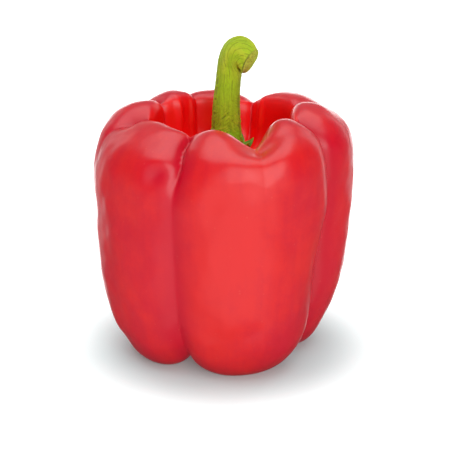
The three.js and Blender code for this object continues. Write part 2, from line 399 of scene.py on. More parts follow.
def profile_points(levels):
    """Radius and height on the profile's B-spline, mirrored at both poles."""
    control = np.array(PROFILE, float)
    spans = len(control) - 1
    first = control[1] * (-1, 1)
    last = control[-2] * (-1, 1)
    control = np.vstack([first, control, last])
    place = np.clip(levels, 0, 1) * spans
    span = np.minimum(place.astype(int), spans - 1)
    f = (place - span)[:, None]
    weights = [(1 - f) ** 3, 3 * f ** 3 - 6 * f ** 2 + 4, -3 * f ** 3 + 3 * f ** 2 + 3 * f + 1, f ** 3]
    return sum(weight * control[span + k] for k, weight in enumerate(weights)) / 6


def lathe_base(name, rows, columns):
    """The fruit before its lobes: its profile turned round the growing axis."""
    levels = np.arange(1, rows) / rows
    radius, height = profile_points(levels).T
    turn = np.arange(columns) * 2 * math.pi / columns
    rings = np.stack([
        radius[:, None] * np.sin(turn),
        -radius[:, None] * np.cos(turn),
        np.repeat(height[:, None], columns, 1),
    ], -1)
    foot, floor = profile_points(np.array([0.0, 1.0]))
    return wrapped_piece(name, (0, 0, foot[1]), rings, (0, 0, floor[1]), levels)


def crease_group():
    """Depth of one crease: two round cheeks that meet in a trough, and a mask of the trough's bottom where
    shade is painted into the skin.
    """
    inputs = {"Angle": 0.0, "Level": 0.0, "Middle": 0.0}
    inputs.update({f"Depth {name}": 0.0 for name in LEVEL_NAMES})
    inputs.update({f"Lean {name}": 0.0 for name in LEVEL_NAMES})
    for word in ("Width", "Softness"):
        inputs.update({f"{word} {name}": 1.0 for name in CHEEK_NAMES})
    inputs.update({"Left skew": 1.0, "Right skew": 1.0})
    tree, rule, given = new_group("Pepper crease", inputs, ["Depth", "Valley"])
    level = given["Level"]
    places = (0, *CREASE_LEVELS, 1)
    steps = [rule.step(low, high, level) for low, high in zip(places, places[1:])]

    def course(word):
        values = [0, *(given[f"{word} {name}"] for name in LEVEL_NAMES), 0]
        total = values[1] * steps[0]
        for before, after, step in zip(values[1:], values[2:], steps[1:]):
            total = total + (after - before) * step
        return total

    def three(word, lows, highs):
        foot, belly, rim = (given[f"{word} {name}"] for name in CHEEK_NAMES)
        return foot + (belly - foot) * rule.step(*lows, level) + (rim - belly) * rule.step(*highs, level)

    away = rule.turned(given["Angle"] - given["Middle"] - course("Lean"))
    left = rule.math("LESS_THAN", away, 0)
    skew = given["Right skew"] + (given["Left skew"] - given["Right skew"]) * left
    width = three("Width", (0.2, 0.45), (0.5, 0.66)) * skew
    soft = three("Softness", (0.2, 0.42), (0.45, 0.57))
    distance = rule.math("SQRT", away * away + soft * soft) - soft
    closeness = 1 - rule.math("MINIMUM", distance / width, 1)
    cheek = 1 - rule.math("SQRT", rule.math("MAXIMUM", 1 - closeness * closeness, 0))
    depth = course("Depth")
    # Mask for the painted shade at the bottom of the crease
    valley = depth * rule.math("POWER", cheek, 1.5)
    rule.node("NodeGroupOutput", {"Depth": depth * cheek, "Valley": valley})
    return tree


def lobe_group():
    """Pull of one lobe on the skin at an angle and a height."""
    inputs = {"Angle": 0.0, "Height": 0.0, "Focus": 10.0, "Middle": 0.0,
              "Reach foot": 0.0, "Reach belly": 0.0, "Reach shoulder": 0.0, "Crest": 0.0}
    tree, rule, given = new_group("Pepper lobe", inputs, ["Pull", "Reach", "Crest"])
    aligned = rule.math("COSINE", (given["Angle"] - given["Middle"]) * RADIAN)
    pull = rule.math("EXPONENT", given["Focus"] * (aligned - 1))
    foot, belly, shoulder = (given[f"Reach {name}"] for name in ("foot", "belly", "shoulder"))
    low, middle, high = REACH_HEIGHTS
    height = given["Height"]
    reach = foot + (belly - foot) * rule.step(low, middle, height)
    reach = reach + (shoulder - belly) * rule.step(middle, high, height)
    rule.node("NodeGroupOutput", {"Pull": pull, "Reach": pull * reach, "Crest": pull * given["Crest"]})
    return tree


def skin_tree(material):
    """Lobes, creases, dents and waviness that turn the plain lathe form into a pepper."""
    inputs = {"Lobe focus": 10.0, "Crease share": 1.0, "Waviness mm": 0.25, "Wave size mm": 16.0, "Seed": 3.0}
    tree, rule, geometry, given = new_tree("Pepper skin", inputs)
    position = rule.node("GeometryNodeInputPosition").outputs[0]
    x, y, height = (term / MM for term in rule.split(position))
    normal_x, normal_y, normal_z = rule.split(rule.node("GeometryNodeInputNormal").outputs[0])
    angle = named(rule, "around")
    level = named(rule, "level")
    cosine, sine = rule.circle(angle * RADIAN)
    radius = rule.math("SQRT", x * x + y * y)
    outward = normal_x * sine - normal_y * cosine

    lobe = lobe_group()
    pull, reach, crest = [], [], []
    for name, middle, (foot, belly, shoulder), top in LOBES:
        node = rule.node("GeometryNodeGroup", node_tree=lobe, label=name)
        for key, value in {"Angle": angle, "Height": height, "Focus": given["Lobe focus"], "Middle": middle,
                           "Reach foot": foot, "Reach belly": belly, "Reach shoulder": shoulder,
                           "Crest": top}.items():
            rule.feed(node.inputs[key], value)
        for total, key in ((pull, "Pull"), (reach, "Reach"), (crest, "Crest")):
            total.append(Term(rule, node.outputs[key]))
    rho = radius + sum(reach) / sum(pull) * rule.step(0, 24, radius)
    z = height + sum(crest) / sum(pull) * rule.step(40, 82, height) * rule.step(8, 24, radius)

    crease = crease_group()
    pressed, dropped, crease_shades = [], [], []
    for name, middle, depth, lean, width, softness, skew, drops in CREASES:
        node = rule.node("GeometryNodeGroup", node_tree=crease, label=name)
        values = {"Angle": angle, "Level": level, "Middle": middle}
        values.update({"Left skew": skew[0], "Right skew": skew[1]})
        for word, names, numbers in (("Depth", LEVEL_NAMES, depth), ("Lean", LEVEL_NAMES, lean),
                                     ("Width", CHEEK_NAMES, width), ("Softness", CHEEK_NAMES, softness)):
            values.update({f"{word} {key}": value for key, value in zip(names, numbers)})
        for key, value in values.items():
            rule.feed(node.inputs[key], value)
        (dropped if drops else pressed).append(Term(rule, node.outputs["Depth"]))
        if not drops:
            crease_shades.append(Term(rule, node.outputs["Valley"]))
    press = sum(pressed)
    for _, *place, depth in DENTS:
        press = press + depth * rule.spot(angle, level, *place)
    waves = rule.noise(position, 1 / MM / given["Wave size mm"], 1.5, 0.5, given["Seed"]) - 0.5
    press = press * given["Crease share"] + waves * given["Waviness mm"] * 2 * rule.step(2, 9, height)
    rho = rho - outward * press
    z = z - normal_z * press - sum(dropped) * given["Crease share"]
    z = rule.math("MAXIMUM", z, 0)
    place = rule.join(rho * sine * MM, -rho * cosine * MM, z * MM)
    # Keep the creases' bottoms as a mask for shade painted into the skin's colour
    geometry = store(rule, geometry, "valley", sum(crease_shades) / 8)
    moved = rule.node("GeometryNodeSetPosition", {"Geometry": geometry, "Position": place})
    end_tree(rule, moved.outputs[0], material)
    return tree


# The calyx

def calyx_rings(sizes):
    """Underside outwards, then the upper side back to the middle."""
    columns, steps = 420, 26
    angle = np.arange(columns) * 360 / columns
    tooth = np.zeros(columns)
    for middle, size in TEETH:
        away = np.abs((angle - middle + 180) % 360 - 180) / 29
        tooth = np.maximum(tooth, size * np.clip(1 - away, 0, 1) ** 0.75)
    edge = sizes.calyx_edge / MM + (sizes.calyx_tip / MM - sizes.calyx_edge / MM) * tooth
    turn = angle * RADIAN
    rings = []
    for side in (0, 1):
        for r in range(1, steps + 1):
            share = (r if side == 0 else steps + 1 - r) / steps
            radius = edge * share
            lift = side * (CALYX_TOP - CALYX_FOOT - 0.5 * share ** 2)
            height = CALYX_FOOT + sizes.calyx_rise / MM * (radius / (sizes.calyx_tip / MM)) ** 2.2 + lift
            rings.append(np.stack([CALYX_X + radius * np.sin(turn), -radius * np.cos(turn), height], -1))
    return np.array(rings)


def calyx_tree(material):
    """Veins and a crinkled edge on the calyx."""
    inputs = {"Vein height mm": 0.18, "Crinkle mm": 0.9, "Seed": 5.0}
    tree, rule, geometry, given = new_tree("Pepper calyx", inputs)
    position = rule.node("GeometryNodeInputPosition").outputs[0]
    angle = named(rule, "around")
    level = named(rule, "level")
    upper = rule.step(0.5, 0.56, level)
    outer = rule.step(0.0, 0.9, 1 - rule.math("ABSOLUTE", level - 0.5) * 2)
    vein = sum(rule.bell(rule.turned(angle - middle) / 3.2) for middle, _ in TEETH)
    ripple = rule.noise(position, 420, 2, 0.5, given["Seed"]) - 0.5
    height = vein * given["Vein height mm"] * upper + ripple * given["Crinkle mm"] * outer
    geometry = store(rule, geometry, "vein", vein)
    end_tree(rule, raised(rule, geometry, height), material)
    return tree


# The stem

def stem_rings(sizes, steps=18, sides=180, end_steps=22):
    """Rings through the stem's sections, then across the cut end, with levels by length."""
    rows = np.array(STEM_SECTIONS, float)
    last = len(rows) - 1
    sections = []
    for i in range(last):
        a, b, c, d = rows[max(i - 1, 0)], rows[i], rows[i + 1], rows[min(i + 2, last)]
        for f in np.arange(steps) / steps:
            sections.append(0.5 * (2 * b + (c - a) * f + (2 * a - 5 * b + 4 * c - d) * f ** 2
                                   + (3 * b - a - 3 * c + d) * f ** 3))
    sections.append(rows[last])
    angle = -np.arange(sides) * 2 * math.pi / sides
    rings = []
    for section in sections:
        lean = section[3] * RADIAN
        turn = sizes.stem_turn * section[3] / FULL_LEAN
        facing, outer, across = stem_axes(lean, turn)
        reach = section[4] * (np.cos(angle)[:, None] * outer + np.sin(angle)[:, None] * across)
        rings.append(section[:3] + reach)
    centre = sections[-1][:3]
    rim = rings[-1]
    for k in range(1, end_steps):
        share = 1 - k / end_steps
        rings.append(centre + (rim - centre) * share + facing * 0.3 * (1 - share ** 2))
    centres = np.array(sections)[:, :3]
    length = np.concatenate([[0], np.cumsum(np.linalg.norm(np.diff(centres, axis=0), axis=1))])
    along = 0.004 + (CUT_LEVEL - 0.004) * length / length[-1]
    levels = np.concatenate([along, np.linspace(CUT_LEVEL + 0.005, 0.995, end_steps - 1)])
    return sections[0][:3], np.array(rings), centre + facing * 0.3, levels


def stem_axes(lean, turn):
    """Directions along the stem, to the outside of its bend and across it."""
    side = np.array([math.cos(turn), -math.sin(turn), 0])
    across = np.array([math.sin(turn), math.cos(turn), 0])
    up = np.array([0, 0, 1.0])
    facing = side * math.sin(lean) + up * math.cos(lean)
    outer = up * math.sin(lean) - side * math.cos(lean)
    return facing, outer, across


def stem_tree(material):
    """Ribs, fine lines, notched ridges and wrinkles on the stem, and the rough cut end."""
    inputs = {"Rib height mm": 0.16, "Line depth mm": 0.16, "Wrinkle mm": 0.4, "Seed": 7.0}
    tree, rule, geometry, given = new_tree("Pepper stem", inputs)
    position = rule.node("GeometryNodeInputPosition").outputs[0]
    degrees = named(rule, "around")
    angle = degrees * RADIAN
    level = named(rule, "level")
    circle_x, circle_y = rule.circle(angle)
    seed = given["Seed"]

    wander = (rule.noise(rule.join(0, 0, level), 3.5, 1, 0.5, seed) - 0.5) * 1.4
    ribs = rule.math("COSINE", angle * 5 + 0.8 + wander) + 0.5 * rule.math("COSINE", angle * 9 + 1.3 + wander)
    sway = rule.noise(rule.join(circle_x, circle_y, level * 3), 1.3, 2, 0.5, seed) * 8
    fade = rule.noise(rule.join(circle_x * 2.5, circle_y * 2.5, level * 9), 1, 2, 0.6, seed + 4)
    wound = angle + rule.step(0.62, 0.98, level) * FIBRE_TWIST
    line = rule.step(0.88, 0.99, rule.math("COSINE", wound * 16 + sway)) * rule.step(0.42, 0.58, fade)
    second = rule.step(0.86, 0.98, rule.math("COSINE", wound * 11 - sway * 0.7))
    line = line + second * rule.step(0.55, 0.42, fade)
    line = line * rule.step(0.3, 0.62, level, 0.4, 1)

    ridge = sum(rule.bell(rule.turned(degrees - middle) / 7) for middle in RIDGE_ANGLES)
    ridge = ridge * rule.step(0.66, 0.5, level)
    stacked = rule.join(circle_x * 0.6, circle_y * 0.6, level * 55)
    notches = rule.step(0.42, 0.6, rule.noise(stacked, 1, 1, 0.5, seed))

    fold = rule.math("ABSOLUTE", rule.turned(degrees - 100)) * 0.035
    wrinkled = rule.join(circle_x * 2.2, circle_y * 2.2, level * 64 + fold * 2)
    wrinkle = rule.noise(wrinkled, 1.5, 2.5, 0.6, seed + 1, 0.4) - 0.5
    crumpled = rule.step(0.5, 0.3, level, 0.35, 1)

    shaft = rule.step(CUT_LEVEL, CUT_LEVEL - 0.02, level, 0.3, 1)
    face = rule.step(CUT_LEVEL + 0.003, CUT_LEVEL + 0.02, level)
    height = ribs * given["Rib height mm"] - line * given["Line depth mm"]
    height = height + ridge * (0.3 - notches * 0.5)
    height = height + wrinkle * given["Wrinkle mm"] * crumpled
    torn = rule.noise(position, 1500, 3, 0.65, seed + 2) - 0.5
    hollowed = rule.step(CUT_LEVEL, 1, level) * 0.25
    height = height * shaft * (1 - face) + (torn * 0.7 - hollowed) * face
    for name, value in (("line", line), ("rib", ribs / 1.5), ("ridge", ridge), ("notch", ridge * notches),
                        ("wrinkle", wrinkle * crumpled)):
        geometry = store(rule, geometry, name, value)
    end_tree(rule, raised(rule, geometry, height), material)
    return tree


# Materials

def new_material(name):
    material = bpy.data.materials.new(name)
    material.use_nodes = True
    tree = material.node_tree
    tree.nodes.clear()
    rule = Rule(tree)
    shader = rule.node("ShaderNodeBsdfPrincipled")
    rule.node("ShaderNodeOutputMaterial", {"Surface": shader.outputs[0]})
    return material, rule, shader


def attribute(rule, name):
    return Term(rule, rule.node("ShaderNodeAttribute", attribute_name=name).outputs["Fac"])


def paints(colours, *keys):
    """Colours by name, each with full alpha."""
    return [tuple(getattr(colours, key)) + (1,) for key in keys]


def wrapped_place(rule):
    """Degrees round a piece and level along it, from its UV map."""
    turn, level, _ = rule.split(rule.node("ShaderNodeUVMap", uv_map="Wrap").outputs[0])
    return turn * 360, level


def stretched(rule, x, y, z):
    """Object coordinates in metres times a factor each way."""
    place = rule.node("ShaderNodeTexCoord").outputs["Object"]
    return rule.node("ShaderNodeMapping", {"Vector": place, "Scale": (x, y, z)}).outputs[0]


def bump(rule, height, strength, distance, below=None):
    node = rule.node("ShaderNodeBump", {"Height": height, "Strength": strength, "Distance": distance})
    if below is not None:
        rule.feed(node.inputs["Normal"], below)
    return node.outputs[0]


def skin_material(colours):
    """Waxy red skin: soft patches, faint streaks, fine mottling and a less ripe blush; painted shade at the
    bottom of the creases and in the left dimple, a lighter front that is partly painted light, and a
    brighter, purer red painted inside the hollow for its bounced light.
    """
    material, rule, shader = new_material("Red skin")
    light, deep, hollow_bounce, painted_shade, blush, speck, scar_brown = paints(
        colours, "skin_light", "skin_deep", "skin_hollow_bounce", "skin_crease_shade", "blush", "speck", "scar")
    angle, level = wrapped_place(rule)
    circle_x, circle_y = rule.circle(angle * RADIAN)
    even = stretched(rule, 1, 1, 1)
    patches = rule.noise(even, 38, 3, 0.55, 1.0)
    blotches = rule.noise(even, 150, 2, 0.5, 3.0)
    mottling = rule.noise(even, 850, 3, 0.65, 5.0)
    streaks = rule.noise(rule.join(circle_x * 15, circle_y * 15, level * 7), 1, 3, 0.6, 2.0)
    # Lighter, more orange front lobe: partly its own tone, partly painted light where the front light falls
    lit_front = rule.spot(angle, level, *LIT_FRONT_PATCH)
    ripeness = patches * 0.9 + blotches * 0.35 + streaks * 0.3 + mottling * 0.25 - lit_front * 0.32
    colour = rule.mix(rule.step(0.6, 1.05, ripeness), light, deep)
    # Painted light: brighter, purer red inside the hollow, standing in for the red light bounced between its
    # walls
    hollow_bounce_mask = rule.step(0.715, 0.765, level + (blotches - 0.5) * 0.02)
    colour = rule.mix(hollow_bounce_mask * 0.9, colour, hollow_bounce)
    # Painted shade: darker red at the bottom of the creases, where shade falls
    valley = attribute(rule, "valley")
    colour = rule.mix(rule.step(0.18, 0.55, valley) * 0.9, colour, painted_shade)
    # Painted shade: the left dimple darkened with the crease shade colour
    colour = rule.mix(rule.spot(angle, level, *DIMPLE_SHADE), colour, painted_shade)
    blush_grain = rule.noise(even, 1100, 3, 0.7, 4.0)
    blush_line = 0.676 + rule.turned(angle - 18) * 0.0025
    blush_place = rule.spot(angle, level, 24, blush_line, 9, 0.014)
    colour = rule.mix(blush_place * rule.step(0.36, 0.56, blush_grain) * 0.85, colour, blush)
    floor = rule.step(0.86, 0.95, level)
    colour = rule.mix(floor * 0.5, colour, blush)
    scar = rule.step(0.03, 0.012, level)
    colour = rule.mix(scar * 0.8, colour, scar_brown)
    specks = rule.node("ShaderNodeTexVoronoi", {"Vector": even, "Scale": 420.0, "Randomness": 1.0})
    speck_pick = rule.split(specks.outputs["Color"])[0]
    speck_distance = Term(rule, specks.outputs["Distance"])
    speck_spot = rule.step(0.17, 0.05, speck_distance) * rule.step(0.5, 0.95, speck_pick)
    colour = rule.mix(speck_spot * 0.10, colour, speck)
    rule.feed(shader.inputs["Base Color"], colour)
    rule.feed(shader.inputs["Roughness"], 0.26 + patches * 0.1 + mottling * 0.06 + scar * 0.4)
    for key, value in {"IOR": 1.46, "Subsurface Weight": 0.06, "Subsurface Radius": (1.0, 0.1, 0.05),
                       "Subsurface Scale": 0.0025, "Coat Weight": 0.14, "Coat Roughness": 0.05,
                       "Coat IOR": 1.45}.items():
        shader.inputs[key].default_value = value
    slow = rule.noise(stretched(rule, 1, 1, 0.5), 90, 2, 0.5, 6.0)
    fine = rule.noise(even, 1500, 2, 0.6, 7.0)
    normal = bump(rule, slow, 0.3, 0.0005)
    normal = bump(rule, fine + streaks * 0.5, 0.1, 0.0001, normal)
    rule.feed(shader.inputs["Normal"], normal)
    return material


def calyx_material(colours):
    """Leafy green with paler veins and a darker, dry edge."""
    material, rule, shader = new_material("Calyx green")
    deep, light, vein, dry = paints(colours, "calyx_deep", "calyx_light", "stem_light", "dry")
    _, level = wrapped_place(rule)
    even = stretched(rule, 1, 1, 1)
    patches = rule.noise(even, 260, 3, 0.6, 1.0)
    colour = rule.mix(rule.step(0.35, 0.65, patches), deep, light)
    colour = rule.mix(attribute(rule, "vein") * 0.45, colour, vein)
    edge = rule.step(0.06, 0.0, rule.math("ABSOLUTE", level - 0.5))
    colour = rule.mix(edge * 0.15, colour, dry)
    rule.feed(shader.inputs["Base Color"], colour)
    rule.feed(shader.inputs["Roughness"], 0.5 + patches * 0.15)
    fine = rule.noise(even, 2200, 3, 0.6, 3.0)
    rule.feed(shader.inputs["Normal"], bump(rule, fine + patches, 0.4, 0.0002))
    return material


def stem_material(colours):
    """Yellow-green stalk with fine lines, brown notched ridges, a greener foot and a dry cut end, with
    painted shade in its grooves and wrinkle troughs and painted highlights on its rib and wrinkle crests.
    """
    material, rule, shader = new_material("Stem green")
    light, pale, deep, groove, green, dry, cut_pale, cut_brown, cut_edge = paints(
        colours, "stem_light", "stem_pale_and_highlight", "stem_deep", "stem_groove_shade", "stem_green", "dry", "cut_pale",
        "cut_brown", "cut_edge")
    degrees, level = wrapped_place(rule)
    circle_x, circle_y = rule.circle(degrees * RADIAN)
    even = stretched(rule, 1, 1, 1)
    wound = degrees * RADIAN + rule.step(0.62, 0.98, level) * FIBRE_TWIST
    across, ahead = rule.circle(wound)
    fibres = rule.noise(rule.join(across * 15, ahead * 15, level * 12), 1.3, 4, 0.72, 1.0)
    patches = rule.noise(even, 300, 3, 0.6, 2.0)
    grain = rule.noise(even, 1300, 3, 0.65, 8.0)
    wrinkle = attribute(rule, "wrinkle")
    # Lighter over raised wrinkles: partly painted highlight
    colour = rule.mix(rule.step(0.34, 0.58, fibres + wrinkle * 0.5), deep, light)
    # Paler towards the head, and paler on the rib crests, where the highlight is painted
    colour = rule.mix(rule.step(0.5, 0.72, level) * (0.35 + attribute(rule, "rib") * 0.3), colour, pale)
    colour = rule.mix(rule.step(0.5, 0.68, patches) * 0.45, colour, deep)
    # Painted highlight on the wrinkle crests and painted shade in their troughs
    colour = rule.mix(rule.step(0.02, 0.16, wrinkle) * 0.7, colour, pale)
    colour = rule.mix(rule.step(-0.03, -0.13, wrinkle) * 0.6, colour, groove)
    # Painted shade: dark green along the carved fine lines
    colour = rule.mix(attribute(rule, "line") * 0.6, colour, groove)
    foot = rule.bell((level - 0.15) / 0.055)
    colour = rule.mix(foot * 0.7, colour, green)
    flecks = rule.noise(rule.join(circle_x * 4, circle_y * 4, level * 22), 2.4, 3, 0.7, 5.0)
    stained = rule.spot(degrees, level, *STAIN)
    colour = rule.mix(rule.step(0.58, 0.72, flecks + stained * 0.12) * 0.45, colour, dry)
    ridge = attribute(rule, "ridge")
    notch = attribute(rule, "notch")
    colour = rule.mix((ridge - notch) * 0.45, colour, pale)
    colour = rule.mix(notch * 0.75, colour, dry)

    face = rule.step(CUT_LEVEL + 0.001, CUT_LEVEL + 0.006, level)
    near = rule.bell(rule.turned(degrees - 90) / 62)
    far = rule.bell(rule.turned(degrees - 265) / 70)
    low = rule.spot(degrees, level, *LOW_EDGE)
    cut = rule.mix(rule.step(0.5, 0.6, grain) * 0.65, cut_pale, cut_brown)
    cut = rule.mix(far * rule.step(CUT_LEVEL + 0.05, CUT_LEVEL + 0.02, level), cut, light)
    cut = rule.mix(low * 0.85, cut, cut_edge)
    colour = rule.mix(face, colour, cut)
    ragged = rule.noise(rule.join(circle_x * 3, circle_y * 3, 0), 2, 2, 0.6, 9.0) * 0.02
    rim = rule.step(CUT_LEVEL - 0.008, CUT_LEVEL + 0.002, level)
    rim = rim * rule.step(CUT_LEVEL + 0.012 + ragged, CUT_LEVEL + ragged, level)
    # Painted shade: a dark, ragged line along the near rim of the cut face, where a shadowed groove would be
    colour = rule.mix(rim * near * 0.85, colour, groove)
    rule.feed(shader.inputs["Base Color"], colour)
    rule.feed(shader.inputs["Roughness"], 0.5 + patches * 0.2)
    shader.inputs["Specular IOR Level"].default_value = 0.3
    normal = bump(rule, fibres, 0.9, 0.0006)
    normal = bump(rule, grain, 0.6, 0.00025, normal)
    rule.feed(shader.inputs["Normal"], normal)
    return material


def floor_material(colours, stage):
    """Pale matte ground with a painted cyan tint near the fruit that cancels the red light bounced onto it,
    and a painted glow that grows further out, leaving a painted shadow round the fruit.
    """
    material, rule, shader = new_material("Pale ground")
    place = stretched(rule, 1, 1, 1)
    x, y, _ = rule.split(place)
    distance = rule.math("SQRT", x * x + y * y) / MM
    tone = rule.noise(place, 3, 2, 0.5, 1.0)
    ground, bounce_cancel = paints(colours, "ground", "ground_bounce_cancel")
    darker = tuple(value * 0.99 for value in colours.ground) + (1,)
    colour = rule.mix(tone, ground, darker)
    # Painted cyan tint near the fruit, cancelling the red light bounced onto the ground so the shadow reads
    # grey
    near = rule.math("EXPONENT", (36 - distance) / 45)
    colour = rule.mix(near * 0.24, colour, bounce_cancel)
    rule.feed(shader.inputs["Base Color"], colour)
    # Painted light and shadow: the ground glows, weaker near the fruit, which leaves a tight painted shadow
    # round it
    rule.feed(shader.inputs["Emission Strength"], rule.step(33, 61, distance, 0.18, 1) * stage.glow)
    shader.inputs["Emission Color"].default_value = (1, 1, 1, 1)
    shader.inputs["Roughness"].default_value = 0.9
    shader.inputs["Specular IOR Level"].default_value = 0.1
    return material


# Settings that a user would change

def colour_property(name, description, default):
    return FloatVectorProperty(name=name, description=description, default=default, subtype="COLOR",
                               size=3, min=0, max=1)


def length_property(name, description, default):
    return FloatProperty(name=name, description=description, default=default, unit="LENGTH")


def angle_property(name, description, degrees):
    return FloatProperty(name=name, description=description, default=degrees * RADIAN, unit="ROTATION",
                         subtype="ANGLE")


def light_property(name, description, default):
    return FloatProperty(name=name, description=description, default=default)


class PepperSizes(bpy.types.PropertyGroup):
    """Sizes of the pepper's pieces."""

    rows: IntProperty(name="Rows", description="Rings of facets from the foot to the hollow",
                      default=262, min=60)
    columns: IntProperty(name="Columns", description="Facets round the fruit", default=360, min=90)
    waviness: length_property("Waviness", "Height of the skin's slow waves", 0.0012)
    wave_size: length_property("Wave size", "Distance from one wave to the next", 0.014)
    calyx_edge: length_property("Calyx edge", "Radius of the calyx between its teeth", 0.0067)
    calyx_tip: length_property("Calyx tip", "Radius of the calyx at its longest teeth", 0.0097)
    calyx_rise: length_property("Calyx rise", "Height of the longest teeth over the middle", 0.0072)
    stem_turn: angle_property("Stem turn", "Turn of the hook towards the front", 29)
    rib_height: length_property("Rib height", "Height of the stem's ribs", 0.00016)
    line_depth: length_property("Line depth", "Depth of the fine lines along the stem", 0.00016)
    wrinkle: length_property("Wrinkles", "Height of the wrinkles at the stem's foot", 0.0011)


class PepperColours(bpy.types.PropertyGroup):
    """Colours of the pepper and its ground."""

    skin_light: colour_property("Skin", "Main red of the skin", (0.73, 0.013, 0.014))
    skin_deep: colour_property("Deep skin", "Deeper red of patches and streaks", (0.61, 0.003, 0.02))
    # Painted light: the hollow's red is brighter and purer to stand in for light bounced between its walls
    skin_hollow_bounce: colour_property("Hollow bounce red", "Warmer red inside the hollow", (0.98, 0.002, 0.0008))
    # Painted shade: dark red painted at the bottom of the creases and in the left dimple
    skin_crease_shade: colour_property("Valley", "Dark red at the bottom of the creases", (0.58, 0.0, 0.018))
    blush: colour_property("Blush", "Less ripe orange-brown", (0.68, 0.17, 0.03))
    speck: colour_property("Specks", "Pale specks in the skin", (0.85, 0.25, 0.16))
    scar: colour_property("Blossom scar", "Dry spot in the middle of the foot", (0.16, 0.07, 0.02))
    stem_light: colour_property("Stem", "Yellow-green of the stem", (0.46, 0.69, 0.015))
    # Also painted highlight on the crests of the ribs and wrinkles
    stem_pale_and_highlight: colour_property("Pale stem and highlight", "Paler yellow-green near the cut end", (0.66, 0.67, 0.04))
    stem_deep: colour_property("Deep stem", "Darker green of the fibres", (0.33, 0.51, 0.010))
    # Painted shade in the grooves, the wrinkle troughs and along the near rim of the cut end
    stem_groove_shade: colour_property("Stem groove shade", "Dark green in the grooves", (0.14, 0.19, 0.008))
    stem_green: colour_property("Stem foot", "Fresher green near the calyx", (0.27, 0.74, 0.012))
    calyx_light: colour_property("Calyx", "Green of the calyx", (0.20, 0.46, 0.02))
    calyx_deep: colour_property("Deep calyx", "Darker green of the calyx", (0.07, 0.22, 0.008))
    dry: colour_property("Dry edge", "Brown of dry edges and flecks", (0.20, 0.14, 0.02))
    cut_pale: colour_property("Cut end", "Pale flesh of the cut end", (0.62, 0.72, 0.06))
    cut_brown: colour_property("Browned cut", "Browned flesh of the cut end", (0.24, 0.25, 0.025))
    cut_edge: colour_property("Cut edge", "Orange-brown at the low edge of the cut", (0.36, 0.12, 0.012))
    ground: colour_property("Ground", "Pale floor", (0.9, 0.9, 0.9))
    # Painted: cyan tint that cancels the red light bounced from the fruit
    ground_bounce_cancel: colour_property("Bounce cancel", "Cooler floor close to the fruit", (0.0, 0.9, 0.9))


class PepperStage(bpy.types.PropertyGroup):
    """Camera and light."""

    distance: length_property("Camera distance", "From the camera to the pepper's middle", 0.45)
    elevation: angle_property("Camera elevation", "Angle of the view above level", 18.5)
    aim_height: length_property("Aim height", "Height that the camera looks at", 0.043)
    lens: FloatProperty(name="Lens", description="Focal length on a 36 mm sensor",
                        default=109.3, unit="CAMERA")
    room: light_property("Room", "Brightness of the surroundings all round", 0.09)
    ceiling: light_property("Ceiling", "Brightness added overhead", 2.35)
    front: light_property("Front", "Brightness added in front", 0.63)
    side: light_property("Side", "Brightness added at the upper left", 0.1)
    back: light_property("Back", "Brightness added high up behind", 0.3)
    paper: light_property("Paper", "Brightness added behind", 3.2)
    strips: light_property("Strips", "Brightness added in the two strips behind", 1.2)
    window: light_property("Window", "Brightness added in the window", 2.9)
    # Painted light: the ground's glow, weaker near the pepper, which paints its shadow
    glow: light_property("Ground glow", "Light of the ground away from the pepper", 0.57)


def settings():
    scene = bpy.context.scene
    return scene.pepper_sizes, scene.pepper_colours, scene.pepper_stage


def frame_shift():
    """From the growing axis to the frame's origin, which is the middle of the box."""
    low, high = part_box("fruit")
    grown_low, grown_high = GROWN_BOX
    middle = [(a + b) / 2 for a, b in zip(low, high)]
    grown = [(a + b) / 2 * MM for a, b in zip(grown_low, grown_high)]
    return (middle[0] - grown[0], middle[1] - grown[1], 0.0)


# Operators

class PEPPER_OT_fruit(bpy.types.Operator):
    """Grow the lobed red fruit"""

    bl_idname = "pepper.fruit"
    bl_label = "Fruit"

    def execute(self, context):
        sizes, colours, _ = settings()
        piece = lathe_base("Pepper_fruit", sizes.rows, sizes.columns)
        tree = skin_tree(skin_material(colours))
        grow(piece, tree, {"Waviness mm": sizes.waviness / MM, "Wave size mm": sizes.wave_size / MM})
        shift_to_frame(piece, frame_shift())
        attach(piece, "root")
        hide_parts("fruit")
        return {"FINISHED"}


class PEPPER_OT_calyx(bpy.types.Operator):
    """Grow the toothed calyx round the foot of the stem"""

    bl_idname = "pepper.calyx"
    bl_label = "Calyx"

    def execute(self, context):
        sizes, colours, _ = settings()
        rings = calyx_rings(sizes)
        levels = np.linspace(0.02, 0.98, len(rings))
        foot, top = (CALYX_X, 0, CALYX_FOOT), (CALYX_X, 0, CALYX_TOP)
        piece = wrapped_piece("Pepper_calyx", foot, rings, top, levels)
        grow(piece, calyx_tree(calyx_material(colours)), {})
        shift_to_frame(piece, frame_shift())
        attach(piece, "root")
        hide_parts("calyx")
        return {"FINISHED"}


class PEPPER_OT_stem(bpy.types.Operator):
    """Grow the ribbed, hooked stem with its cut end"""

    bl_idname = "pepper.stem"
    bl_label = "Stem"

    def execute(self, context):
        sizes, colours, _ = settings()
        start, rings, end, levels = stem_rings(sizes)
        piece = wrapped_piece("Pepper_stem", start, rings, end, levels)
        values = {"Rib height mm": sizes.rib_height / MM, "Line depth mm": sizes.line_depth / MM,
                  "Wrinkle mm": sizes.wrinkle / MM}
        grow(piece, stem_tree(stem_material(colours)), values)
        shift_to_frame(piece, frame_shift())
        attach(piece, "root")
        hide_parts("stem")
        return {"FINISHED"}


